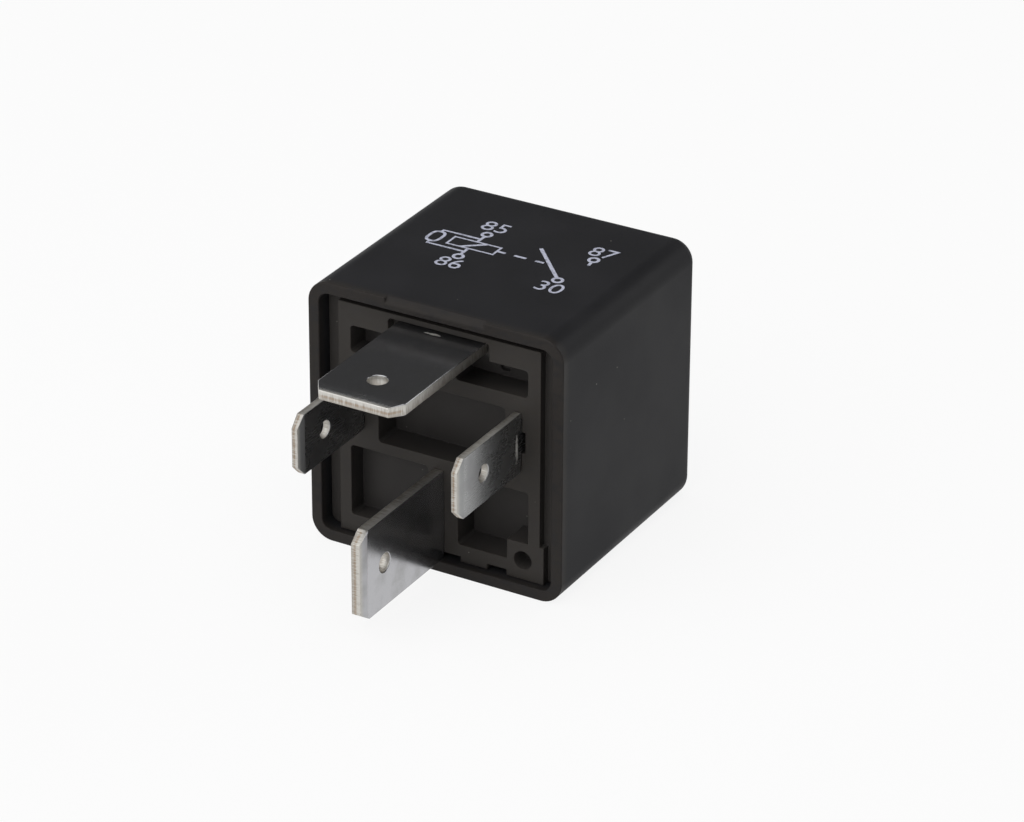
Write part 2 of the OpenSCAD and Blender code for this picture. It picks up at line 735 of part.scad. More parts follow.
module resistor() {
    cap = resistor_len * 0.24;
    waist_r = resistor_dia / 2 * 0.86;
    color("#c9b48a") lay_down() translate([0, resistor_y, circuit_z]) rotate([0, 90, 0]) {
        translate([0, 0, -resistor_len / 2 + cap / 2])
            cylinder(r = waist_r, h = resistor_len - cap);
        for (s = [-1, 1]) scale([1, 1, s]) translate([0, 0, resistor_len / 2 - cap]) {
            cylinder(r1 = waist_r, r2 = resistor_dia / 2, h = cap / 4);
            translate([0, 0, cap / 4]) cylinder(r = resistor_dia / 2, h = cap / 2);
            translate([0, 0, 3 * cap / 4])
                cylinder(r1 = resistor_dia / 2, r2 = resistor_dia / 2 * 0.7, h = cap / 4);
        }
    }
}

// Lead that leaves the resistor sideways and turns back to its blade's finger
module resistor_lead() {
    bend = 2 * lead_dia;
    x0 = resistor_len / 2;
    y1 = resistor_finger_y + finger_w / 2;
    translate([x0, resistor_y, circuit_z]) rotate([0, 90, 0])
        cylinder(d = lead_dia, h = lead_x - bend - x0);
    translate([lead_x - bend, resistor_y + bend, circuit_z]) rotate([0, 0, -90])
        rotate_extrude(angle = 90) translate([bend, 0]) circle(d = lead_dia);
    translate([lead_x, y1, circuit_z]) rotate([90, 0, 0])
        cylinder(d = lead_dia, h = y1 - resistor_y - bend);
}

module resistor_lead_85() { color("#c9c6c4") lay_down() mirror([1, 0, 0]) resistor_lead(); }

module resistor_lead_86() { color("#c9c6c4") lay_down() resistor_lead(); }

// ---- Contacts and moving parts ----

module fixed_contact() {
    color("#d7d4cf") lay_down() translate([0, contact_y, 0]) {
        translate([0, 0, tab_top]) cylinder(r = contact_r, h = contact_h - button_c);
        translate([0, 0, tab_top + contact_h - button_c])
            cylinder(r1 = contact_r, r2 = contact_r - button_in, h = button_c);
        translate([0, 0, tab_top - power_t]) cylinder(r = shank_r, h = power_t);
        translate([0, 0, tab_top - power_t - contact_head_h])
            cylinder(r = contact_head_r, h = contact_head_h);
    }
}

// Post of the back stop stands to the right of the fixed contact's arm
function stop_x() = arm_w / 2 + stop_gap;
stop_gap = 2.7;
stop_root = 2;           // post inside the base
stop_arm_h = 1.7;        // arm from the post to the tab
stop_tab_side = 0.5;     // tab on each side of the contact's head
stop_tab_end = 0.3;      // tab beyond the contact's head
stop_bend = 0.3;

module back_stop() {
    tab_w = 2 * (contact_head_r + stop_tab_side);
    foot_z = base_top - stop_root + seat;
    arm_z = stop_z - stop_arm_h;
    y_in = front_blade_y + stop_t / 2;
    color("#b9bbbd") lay_down() {
        side_plate(tab_w) bent_side(y_in, arm_z, stop_z,
            contact_y + contact_head_r + stop_tab_end, stop_t, stop_bend);
        block(tab_w / 2, stop_x() + stop_w, y_in - stop_t, y_in, arm_z, stop_z - stop_bend);
        block(stop_x(), stop_x() + stop_w, y_in - stop_t, y_in, foot_z, arm_z);
    }
}

module yoke_rivets() {
    color("#c2b280") lay_down() both_sides() translate([rivet_x, 0, yoke_rivet_z])
        rotate([-90, 0, 0]) rivet(leg_front, leg_back + spring_t + 2 * seat, rivet_r,
            rivet_head_r, rivet_head_h);
}

module armature() {
    z0 = pole_z + air;
    color("#8d8f92") lay_down() released() difference() {
        union() {
            round_block(-armature_w / 2, armature_w / 2, armature_front, leg_front - shoulder_gap,
                z0, z0 + armature_t, armature_r);
            block(-armature_w / 2, armature_w / 2, coil_y, leg_front - shoulder_gap,
                z0, z0 + armature_t);
            // narrow heel between the yoke's lugs, round where the spring passes
            side_plate(heel_w) {
                translate([coil_y, z0]) square([heel_y - coil_y, armature_t - spring_bend]);
                translate([coil_y, z0]) square([heel_y - spring_bend - coil_y, armature_t]);
                translate([heel_y - spring_bend, z0 + armature_t - spring_bend])
                    circle(spring_bend);
            }
        }
        both_sides() translate([rivet_x, heel_y - armature_rivet_reach, z0 - over])
            cylinder(r = rivet_r + pin_fit, h = armature_t + 2 * over);
    }
}

module armature_rivets() {
    z0 = pole_z + air;
    color("#c2b280") lay_down() released() both_sides()
        translate([rivet_x, heel_y - armature_rivet_reach, 0])
            rivet(z0, z0 + armature_t + spring_t + 2 * seat, rivet_r, rivet_head_r, rivet_head_h);
}

// Side outline of the contact spring, released: leg up the yoke's back, bend, tilted leaf
function spring_side() = let (
    round_to = 90 - stroke_deg,
    bend_r = spring_bend + spring_t,
    bend_end = heel_y - (heel_y - bend_y) * cos(stroke_deg) - (bend_z - pole_z) * sin(stroke_deg),
    leaf = bend_end - heel_y + spring_end,
    arc = function (r, a) [bend_y + r * cos(a), bend_z + r * sin(a)],
    tip = function (r) arc(r, round_to) + leaf * [-cos(stroke_deg), sin(stroke_deg)]
) [
    [spring_in_y, spring_foot_z], [spring_in_y + spring_t, spring_foot_z],
    for (i = [0:bend_steps]) arc(bend_r, i * round_to / bend_steps),
    tip(bend_r), tip(spring_bend),
    for (i = [bend_steps:-1:0]) arc(spring_bend, i * round_to / bend_steps),
];

// Leaf that is riveted to the yoke's back, bends round the heel and carries the contact
module contact_spring() {
    z0 = pole_z + armature_face;
    y_tip = heel_y - spring_end;
    tip_x = spring_tip_w / 2;
    color("#c58a4b") lay_down() difference() {
        side_plate(spring_w) polygon(spring_side());
        // window that softens the bend
        block(-window_w / 2, window_w / 2, heel_y - window_in, back_in, pole_z - window_drop,
            case_h);
        both_sides() translate([rivet_x, back_in, yoke_rivet_z]) rotate([90, 0, 0])
            cylinder(r = rivet_r + pin_fit, h = back_in - leg_front);
        released() {
            // taper from the armature to the contact, and round-cut end
            both_sides() translate([0, 0, z0 - over]) linear_extrude(spring_t + 2 * over) polygon([
                [spring_w, armature_front + taper_in], [spring_w / 2, armature_front + taper_in],
                [tip_x, contact_y + taper_out], [tip_x, y_tip + spring_tip_in],
                [tip_x - spring_tip_in, y_tip], [tip_x - spring_tip_in, y_tip - over],
                [spring_w, y_tip - over],
            ]);
            both_sides() translate([rivet_x, heel_y - armature_rivet_reach, z0 - over])
                cylinder(r = rivet_r + pin_fit, h = spring_t + 2 * over);
            translate([0, contact_y, z0 - over])
                cylinder(r = shank_r + pin_fit, h = spring_t + 2 * over);
        }
    }
}

module moving_contact() {
    z0 = pole_z + armature_face;
    face = pole_z + air + armature_t - contact_h;
    color("#d7d4cf") lay_down() released() translate([0, contact_y, 0]) {
        translate([0, 0, face]) cylinder(r1 = contact_r - button_in, r2 = contact_r, h = button_c);
        translate([0, 0, face + button_c]) cylinder(r = contact_r, h = z0 - face - button_c);
        translate([0, 0, z0]) cylinder(r = shank_r, h = spring_t);
        translate([0, 0, z0 + spring_t])
            cylinder(r1 = contact_head_r, r2 = contact_head_r - head_in, h = contact_head_h - seat);
    }
}

cover();
base();
terminal_30();
terminal_85();
terminal_86();
terminal_87();
yoke();
core();
bobbin();
coil_winding();
coil_lead_85();
coil_lead_86();
resistor();
resistor_lead_85();
resistor_lead_86();
fixed_contact();
back_stop();
yoke_rivets();
armature();
armature_rivets();
contact_spring();
moving_contact();
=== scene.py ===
"""Dresses a plug-in automotive relay: moulded case and base, plated blades and inner works.

The relay lies on its back with the printed side up, the blades point to -Y, and every size is in
millimetres until it reaches a mesh.
"""

import logging
import math
from dataclasses import dataclass, replace
from enum import Enum, IntEnum
from typing import Any, Iterable, Protocol, Sequence

import bmesh
import bpy
from mathutils import Matrix, Vector
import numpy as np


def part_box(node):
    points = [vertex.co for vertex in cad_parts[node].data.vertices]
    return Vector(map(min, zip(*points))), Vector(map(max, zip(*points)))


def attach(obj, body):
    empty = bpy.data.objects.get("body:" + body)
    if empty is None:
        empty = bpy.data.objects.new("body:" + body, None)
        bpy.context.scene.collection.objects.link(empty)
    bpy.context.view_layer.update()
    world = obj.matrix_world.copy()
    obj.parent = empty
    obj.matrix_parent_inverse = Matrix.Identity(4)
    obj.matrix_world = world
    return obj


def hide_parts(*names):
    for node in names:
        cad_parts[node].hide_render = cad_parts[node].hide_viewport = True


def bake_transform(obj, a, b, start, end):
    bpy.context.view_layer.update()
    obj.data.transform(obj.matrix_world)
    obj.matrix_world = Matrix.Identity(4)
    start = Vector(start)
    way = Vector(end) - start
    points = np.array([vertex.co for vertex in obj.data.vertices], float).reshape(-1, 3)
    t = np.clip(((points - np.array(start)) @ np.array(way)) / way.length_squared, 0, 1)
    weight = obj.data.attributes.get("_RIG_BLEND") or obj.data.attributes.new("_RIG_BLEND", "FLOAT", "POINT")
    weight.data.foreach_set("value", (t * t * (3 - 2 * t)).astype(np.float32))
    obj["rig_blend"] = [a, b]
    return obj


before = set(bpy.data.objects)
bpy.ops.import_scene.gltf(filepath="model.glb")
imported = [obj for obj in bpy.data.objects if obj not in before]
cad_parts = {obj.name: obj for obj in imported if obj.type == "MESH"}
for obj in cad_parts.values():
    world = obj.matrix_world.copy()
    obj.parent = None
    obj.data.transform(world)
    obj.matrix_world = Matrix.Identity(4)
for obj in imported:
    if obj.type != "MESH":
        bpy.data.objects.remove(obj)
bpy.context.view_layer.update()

MM = 0.001
WELD = 0.002 * MM
# Most values of a noise lie between these two.
BULK = (0.3, 0.7)
Colour = tuple[float, float, float]
WHITE: Colour = (1, 1, 1)
# The case's mouth, and its printed face.
MOUTH_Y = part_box("cover")[0].y / MM
FACE_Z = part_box("cover")[1].z / MM
log = logging.getLogger("relay")


class Body(str, Enum):
    """The two bodies that pieces ride on."""

    HOUSING = "housing"
    ARMATURE = "armature"


class Axis(IntEnum):
    """Directions on the relay: across, from the blades to the case's back, and up."""

    X = 0
    Y = 1
    Z = 2


def box_of(node: str) -> tuple[Vector, Vector]:
    """Gives the lowest and highest corners of a CAD node in millimetres."""
    low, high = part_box(node)
    return low / MM, high / MM


def thickness_of(node: str) -> float:
    """Gives the thickness of an upright blade in millimetres."""
    low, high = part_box(node)
    return (high.x - low.x) / MM


def show(made: bpy.types.Object) -> None:
    """Puts an object in the scene."""
    bpy.context.scene.collection.objects.link(made)


def srgb(red: int, green: int, blue: int) -> Colour:
    """Turns a colour as it is seen into the linear one that shaders read.

    Args:
        red: Red part, from 0 to 255.
        green: Green part.
        blue: Blue part.

    Returns:
        The linear colour.
    """

    def linear(value: int) -> float:
        """Undoes the display curve of one channel."""
        share = value / 255
        return share / 12.92 if share <= 0.04045 else ((share + 0.055) / 1.055) ** 2.4

    return linear(red), linear(green), linear(blue)


# ---- Shader maths ----


class Signal:
    """A socket's value, with arithmetic that adds Math nodes."""

    def __init__(self, shader: "Shader", socket: bpy.types.NodeSocket) -> None:
        """Keeps the shader and the socket that the value leaves by."""
        self.shader = shader
        self.socket = socket

    def _math(self, operation: str, first: "Signal | float", second: "Signal | float") -> "Signal":
        """Joins two values by a Math node."""
        settings = {"operation": operation}
        return self.shader.signal("ShaderNodeMath", settings, {0: first, 1: second})

    def __add__(self, other: "Signal | float") -> "Signal":
        """Adds."""
        return self._math("ADD", self, other)

    def __sub__(self, other: "Signal | float") -> "Signal":
        """Subtracts."""
        return self._math("SUBTRACT", self, other)

    def __rsub__(self, other: "Signal | float") -> "Signal":
        """Subtracts from a number."""
        return self._math("SUBTRACT", other, self)

    def __mul__(self, other: "Signal | float") -> "Signal":
        """Multiplies."""
        return self._math("MULTIPLY", self, other)

    def __gt__(self, other: "Signal | float") -> "Signal":
        """Gives 1 where the value is above another, and 0 elsewhere."""
        return self._math("GREATER_THAN", self, other)

    __radd__ = __add__
    __rmul__ = __mul__

    def between(self, low: float, high: float, out: tuple[float, float] = (0, 1)) -> "Signal":
        """Maps the values from low to high smoothly onto another range.

        Args:
            low: Value that gives the first end of out.
            high: Value that gives the second end of out.
            out: Range of the result.

        Returns:
            The mapped value.
        """
        inputs = {"Value": self, "From Min": low, "From Max": high, "To Min": out[0], "To Max": out[1]}
        return self.shader.signal("ShaderNodeMapRange", {"interpolation_type": "SMOOTHSTEP"}, inputs)


class Shader:
    """The node tree of one material or of the world."""

    def __init__(self, owner: bpy.types.Material | bpy.types.World) -> None:
        """Empties the node tree of a material or a world.

        Args:
            owner: Material or world that is built.
        """
        owner.use_nodes = True
        self.owner = owner
        self.tree = owner.node_tree
        self.tree.nodes.clear()

    @classmethod
    def named(cls, name: str) -> "Shader":
        """Starts a new material."""
        return cls(bpy.data.materials.new(name))

    def node(
        self, kind: str, settings: dict[str, Any], inputs: dict[str | int, Any]
    ) -> bpy.types.Node:
        """Adds one node.

        Args:
            kind: Type of the node.
            settings: Its properties, set first; "stops" are the places and colours of a ramp.
            inputs: Values or signals for its sockets, by name or number.

        Returns:
            The node.
        """
        made = self.tree.nodes.new(kind)
        for key, value in settings.items():
            if key == "stops":
                self._set_stops(made.color_ramp, value)
            else:
                setattr(made, key, value)
        for key, value in inputs.items():
            socket = made.inputs[key]
            if isinstance(value, Signal):
                self.tree.links.new(value.socket, socket)
            elif socket.type == "RGBA" and len(value) == 3:
                socket.default_value = (*value, 1)
            else:
                socket.default_value = value
        return made

    @staticmethod
    def _set_stops(ramp: bpy.types.ColorRamp, stops: Sequence[tuple[float, Colour]]) -> None:
        """Gives a ramp its colours, each held up to the next.

        Args:
            ramp: Ramp with two stops or more.
            stops: Places and colours, as many as the ramp has or more.
        """
        ramp.interpolation = "CONSTANT"
        while len(ramp.elements) < len(stops):
            ramp.elements.new(1)
        for element, (place, colour) in zip(ramp.elements, stops):
            element.position = place
            element.color = (*colour, 1)

    def signal(
        self, kind: str, settings: dict[str, Any], inputs: dict[str | int, Any], out: str | int = 0
    ) -> Signal:
        """Adds a node and gives one of its outputs.

        Args:
            kind: Type of the node.
            settings: Its properties.
            inputs: Values or signals for its sockets.
            out: Name or number of the output.

        Returns:
            The output as a signal.
        """
        return Signal(self, self.node(kind, settings, inputs).outputs[out])

    def place(self, stretch: Sequence[float] = (1, 1, 1)) -> Signal:
        """Gives the place on the piece in millimetres.

        Args:
            stretch: Factor along each axis, below 1 where a pattern runs long.

        Returns:
            The place as a vector.
        """
        at = self.signal("ShaderNodeTexCoord", {}, {}, "Object")
        scale = [factor / MM for factor in stretch]
        return self.signal("ShaderNodeMapping", {}, {"Vector": at, "Scale": scale})

    def along(self, axis: Axis) -> Signal:
        """Gives the place along one axis in millimetres."""
        return self.signal("ShaderNodeSeparateXYZ", {}, {"Vector": self.place()}, axis)

    def clouds(self, size: float) -> Signal:
        """Gives soft clouds from 0 to 1."""
        return self.noise(size, 4).between(0.42, 0.72)

    def noise(self, size: float, detail: float = 2, stretch: Sequence[float] = (1, 1, 1)) -> Signal:
        """Gives soft noise from 0 to 1.

        Args:
            size: Size of its spots.
            detail: How many finer layers it has.
            stretch: Factor along each axis, below 1 where the spots run long.

        Returns:
            The noise.
        """
        inputs = {"Vector": self.place(stretch), "Scale": 1 / size, "Detail": detail}
        return self.signal("ShaderNodeTexNoise", {}, inputs)

    def specks(self, spacing: float, radius: float) -> Signal:
        """Gives scattered round specks, 1 inside and 0 outside.

        Args:
            spacing: Mean distance between specks.
            radius: Radius of a speck, as a share of the spacing.

        Returns:
            The mask.
        """
        inputs = {"Vector": self.place(), "Scale": 1 / spacing, "Randomness": 1}
        far = self.signal("ShaderNodeTexVoronoi", {"feature": "F1"}, inputs, "Distance")
        return 1 - far.between(radius * 0.5, radius)

    def mix(self, first: Signal | Colour, second: Signal | Colour, factor: Signal | float) -> Signal:
        """Mixes two colours.

        Args:
            first: Colour where the factor is 0.
            second: Colour where the factor is 1.
            factor: Number or signal from 0 to 1.

        Returns:
            The mixed colour.
        """
        settings = {"data_type": "RGBA", "blend_type": "MIX"}
        inputs = {"Factor": factor, 6: first, 7: second}
        return self.signal("ShaderNodeMix", settings, inputs, 2)

    def bump(self, height: Signal, depth: float) -> Signal:
        """Makes a height into a bent normal.

        Args:
            height: Height from 0 to 1.
            depth: Real depth that 1 stands for.

        Returns:
            The normal.
        """
        return self.signal("ShaderNodeBump", {}, {"Height": height, "Distance": depth * MM, "Strength": 1})

    def finish(self, **inputs: Any) -> bpy.types.Material:
        """Closes the material with one Principled surface.

        Args:
            **inputs: Its sockets, with _ for a space.

        Returns:
            The material.
        """
        named = {key.replace("_", " "): value for key, value in inputs.items()}
        surface = self.signal("ShaderNodeBsdfPrincipled", {}, named)
        return self.close(surface)

    def close(
        self, surface: Signal, output: str = "Material"
    ) -> bpy.types.Material | bpy.types.World:
        """Leads a surface to the output and gives the material or the world."""
        self.node(f"ShaderNodeOutput{output}", {}, {"Surface": surface})
        return self.owner


# ---- Finishes ----


class Finish(Protocol):
    """What a piece is dressed in."""

    def material(self) -> bpy.types.Material:
        """Builds the material."""


@dataclass(frozen=True)
class MouldedPlastic:
    """Filled moulded plastic: fine grain, a slow drift in gloss, a rubbed edge and a little dust."""

    name: str
    colour: Colour
    worn: Colour
    roughness: float
    edge_y: float = -100
    fade: float = 1.4
    grain: float = 0.16
    grain_depth: float = 0.005
    drift: float = 9
    drift_light: float = 1.3
    drift_rough: float = 0.05
    rub: float = 0.8
    rub_gloss: float = 0.08
    dust: Colour = srgb(120, 117, 112)
    dust_spacing: float = 2.6
    dust_size: float = 0.035
    shine: float = 0.1

    def material(self) -> bpy.types.Material:
        """Builds the material.

        Returns:
            The material.
        """
        shader = Shader.named(self.name)
        drift = shader.noise(self.drift, 3)
        grain = shader.noise(self.grain, 3)
        rubbed = shader.noise(self.rub, 4, (0.5, 1, 1)).between(0.25, 0.6, (0.45, 1))
        near = 1 - (shader.along(Axis.Y) - self.edge_y).between(0.1, self.fade)
        lighter = tuple(self.drift_light * part for part in self.colour)
        body = shader.mix(self.colour, lighter, drift.between(0.35, 0.7))
        body = shader.mix(body, self.worn, near * rubbed)
        dusty = shader.specks(self.dust_spacing, self.dust_size)
        rough = drift.between(*BULK, (self.roughness - self.drift_rough, self.roughness + self.drift_rough))
        return shader.finish(
            Base_Color=shader.mix(body, self.dust, dusty),
            Roughness=rough - near * self.rub_gloss,
            Specular_IOR_Level=self.shine,
            Normal=shader.bump(grain, self.grain_depth),
        )


@dataclass(frozen=True)
class ScrapeHighlight:
    """Rough, bright spot by a blade's seat, partly a press scrape and partly a painted highlight: its middle
    and its half sizes.
    """

    middle: tuple[float, float, float]
    half: tuple[float, float, float]
    tooth: float = 0.16
    ragged: float = 1.8

    def mask(self, shader: Shader) -> Signal:
        """Marks the spot, with a ragged edge.

        Args:
            shader: Shader that the mask joins.

        Returns:
            1 in the spot and 0 outside.
        """
        far = shader.noise(self.tooth, 3, (0.3, 1, 1)) * self.ragged
        for axis in Axis:
            away = (shader.along(axis) - self.middle[axis]) * (1 / self.half[axis])
            far = far + away * away
        return 1 - far.between(1.1, 1.5)


@dataclass(frozen=True)
class SheetTin:
    """Tinned strip: dull faces, a struck bevel at the tip, and cut edges with a line of bare metal.

    The depth in the strip runs from -1 to 1 along its axis, and cut edges show up to cut_share.
    """

    name: str
    axis: Axis
    middle: float
    thickness: float
    tip_y: float
    bevel: float = 1.25
    face: Colour = (0.46, 0.46, 0.475)
    cloudy: Colour = (0.38, 0.38, 0.385)
    cloud: float = 2.2
    sheared: Colour = (0.60, 0.585, 0.55)
    torn: Colour = (0.40, 0.37, 0.33)
    tear: float = 0.12
    tear_stretch: float = 0.08
    bare: Colour = (0.33, 0.25, 0.18)
    bare_depth: float = -0.1
    cut_share: float = 0.8
    cut_rough: float = 0.2
    line: float = 0.06
    line_height: float = 0.1
    relief: float = 0.003
    smooth: tuple[float, float] = (0.15, 0.20)
    cloud_rough: float = 0.05
    struck_rough: float = 0.22
    metal: float = 0.95
    # The scraped spot is a press scrape painted bright as a highlight: lighter colour, rougher and less
    # metallic so that it shows lit.
    scrape_highlight: ScrapeHighlight | None = None
    scrape_highlight_rough: float = 0.3
    scrape_highlight_metal: float = 0.6

    def material(self) -> bpy.types.Material:
        """Builds the material.

        Returns:
            The material.
        """
        shader = Shader.named(self.name)
        depth = (shader.along(self.axis) - self.middle) * (2 / self.thickness)
        cut = 1 - (depth * depth).between(self.cut_share**2, (self.cut_share + 0.1) ** 2)
        tears = shader.noise(self.tear, 3, [self.tear_stretch if axis == self.axis else 1 for axis in Axis])
        lines = shader.noise(self.line, 2, (1, 0.04, 1))
        clouds = shader.clouds(self.cloud)
        struck = 1 - (shader.along(Axis.Y) - self.tip_y).between(self.bevel - 0.08, self.bevel)
        edge = self._edge(shader, depth, tears, struck)
        face = shader.mix(self.face, self.cloudy, clouds)
        rough = lines.between(*BULK, self.smooth) + clouds * self.cloud_rough
        rough = rough + struck * self.struck_rough + cut * self.cut_rough
        metal: Signal | float = self.metal
        # Painted highlight: the scraped spot turns lighter, rougher and less metallic so that it looks lit.
        if self.scrape_highlight:
            scraped_highlight = self.scrape_highlight.mask(shader) * (depth > 0)
            face = shader.mix(face, self.sheared, scraped_highlight)
            rough = rough + scraped_highlight * self.scrape_highlight_rough
            metal = metal - scraped_highlight * self.scrape_highlight_metal
        return shader.finish(
            Base_Color=shader.mix(face, edge, cut),
            Metallic=metal,
            Roughness=rough,
            Normal=shader.bump(lines * self.line_height + tears * cut, self.relief),
        )

    def _edge(self, shader: Shader, depth: Signal, tears: Signal, struck: Signal) -> Signal:
        """Colours the cut edges.

        Args:
            shader: Shader that the colour joins.
            depth: Depth in the strip.
            tears: Marks that the cut left across the strip.
            struck: 1 near the tip, where the bare metal shows.

        Returns:
            The colour.
        """
        edge = shader.mix(self.sheared, self.torn, (tears - depth * 0.2).between(0.38, 0.68))
        away = depth - self.bare_depth
        bare = (1 - (away * away).between(0.01, 0.08)) * tears.between(0.3, 0.6, (0.15, 0.8))
        return shader.mix(edge, self.bare, bare * struck)


@dataclass(frozen=True)
class RolledPlate:
    """Plated strip: bright metal with fine lines along the rolling direction and dull clouds."""

    name: str
    colour: Colour
    dull: Colour
    roughness: float
    rolling: tuple[float, float, float] = (1, 0.04, 1)
    line: float = 0.05
    line_depth: float = 0.0006
    cloud: float = 2.4
    dull_share: float = 0.6
    dull_rough: float = 0.08

    def material(self) -> bpy.types.Material:
        """Builds the material.

        Returns:
            The material.
        """
        shader = Shader.named(self.name)
        lines = shader.noise(self.line, 2, self.rolling)
        clouds = shader.clouds(self.cloud)
        rough = lines.between(*BULK, (self.roughness - 0.04, self.roughness + 0.05))
        return shader.finish(
            Base_Color=shader.mix(self.colour, self.dull, clouds * self.dull_share),
            Metallic=1.0,
            Roughness=rough + clouds * self.dull_rough,
            Normal=shader.bump(lines, self.line_depth),
        )


@dataclass(frozen=True)
class Enamel:
    """Copper wire under clear enamel."""

    name: str
    colour: Colour = (0.55, 0.19, 0.06)
    dark: Colour = (0.30, 0.08, 0.025)
    shade: float = 1.6
    gloss: float = 0.3
    roughness: tuple[float, float] = (0.24, 0.36)
    metal: float = 0.75
    coat: float = 0.6

    def material(self) -> bpy.types.Material:
        """Builds the material.

        Returns:
            The material.
        """
        shader = Shader.named(self.name)
        shade = shader.noise(self.shade, 3).between(0.35, 0.7)
        return shader.finish(
            Base_Color=shader.mix(self.colour, self.dark, shade),
            Metallic=self.metal,
            Roughness=shader.noise(self.gloss, 2).between(*BULK, self.roughness),
            Coat_Weight=self.coat,
        )


@dataclass(frozen=True)
class BandedLacquer:
    """Resistor lacquer with painted rings across X, at even steps along the body."""

    name: str
    body: Colour
    length: float
    rings: tuple[Colour, ...]
    ring_share: float = 0.075
    end_share: float = 0.12
    mottle: float = 0.5
    dirt: Colour = (0.02, 0.02, 0.02)
    roughness: float = 0.32
    coat: float = 0.4

    def material(self) -> bpy.types.Material:
        """Builds the material.

        Returns:
            The material.
        """
        shader = Shader.named(self.name)
        along = shader.along(Axis.X) * (1 / self.length) + 0.5
        span = 1 - 2 * self.end_share
        stops = [(0.0, self.body)]
        for step, ring in enumerate(self.rings, 1):
            at = self.end_share + span * step / (len(self.rings) + 1)
            stops += [(at - self.ring_share / 2, ring), (at + self.ring_share / 2, self.body)]
        paint = shader.signal("ShaderNodeValToRGB", {"stops": stops}, {"Fac": along})
        mottle = shader.noise(self.mottle, 2).between(*BULK, (0, 0.15))
        return shader.finish(
            Base_Color=shader.mix(paint, self.dirt, mottle), Roughness=self.roughness, Coat_Weight=self.coat
        )


@dataclass(frozen=True)
class Ink:
    """Pale printing ink, a little thin in places."""

    name: str
    colour: Colour
    thin: Colour
    wear: float = 0.35
    roughness: float = 0.55

    def material(self) -> bpy.types.Material:
        """Builds the material.

        Returns:
            The material.
        """
        shader = Shader.named(self.name)
        worn = shader.noise(self.wear, 3).between(0.4, 0.75)
        return shader.finish(Base_Color=shader.mix(self.colour, self.thin, worn), Roughness=self.roughness)


CASE_BLACK = MouldedPlastic("case_black", srgb(34, 34, 36), srgb(46, 43, 41), 0.52, MOUTH_Y)
BASE_BLACK = MouldedPlastic(
    "base_black", srgb(51, 49, 48), srgb(56, 53, 50), 0.46, MOUTH_Y, fade=3, dust_spacing=1.9
)
BOBBIN_CREAM = MouldedPlastic("bobbin_cream", srgb(208, 198, 164), srgb(200, 190, 156), 0.38)
TIN = RolledPlate("tin", (0.62, 0.61, 0.60), (0.46, 0.45, 0.45), 0.24)
IRON = RolledPlate("plated_iron", (0.56, 0.57, 0.58), (0.38, 0.38, 0.38), 0.30, (1, 0.1, 0.1))
STOP_STEEL = RolledPlate("stop_steel", (0.62, 0.62, 0.62), (0.45, 0.45, 0.44), 0.26)
BRASS = RolledPlate("rivet_brass", (0.79, 0.62, 0.33), (0.50, 0.36, 0.18), 0.24, (1, 1, 1))
BRONZE = RolledPlate("spring_bronze", (0.82, 0.52, 0.31), (0.55, 0.32, 0.18), 0.22)
SILVER = RolledPlate("contact_silver", (0.90, 0.89, 0.86), (0.62, 0.60, 0.55), 0.28, (1, 1, 1))
INK = Ink("pale_ink", srgb(190, 193, 210), srgb(138, 140, 155))


# ---- Surroundings ----


@dataclass(frozen=True)
class Lamp:
    """Soft square lamp: the way to it from the relay, its distance, its side and its watts."""

    name: str
    way: tuple[float, float, float]
    away: float
    size: float
    power: float

    def hang(self, centre: Vector) -> None:
        """Hangs the lamp.

        Args:
            centre: Point that it faces.
        """
        data = bpy.data.lights.new(self.name, "AREA")
        data.size = self.size * MM
        data.energy = self.power
        lamp = bpy.data.objects.new(self.name, data)
        ray = Vector(self.way).normalized()
        lamp.location = (centre + ray * self.away) * MM
        lamp.rotation_euler = ray.to_track_quat("Z", "Y").to_euler()
        show(lamp)


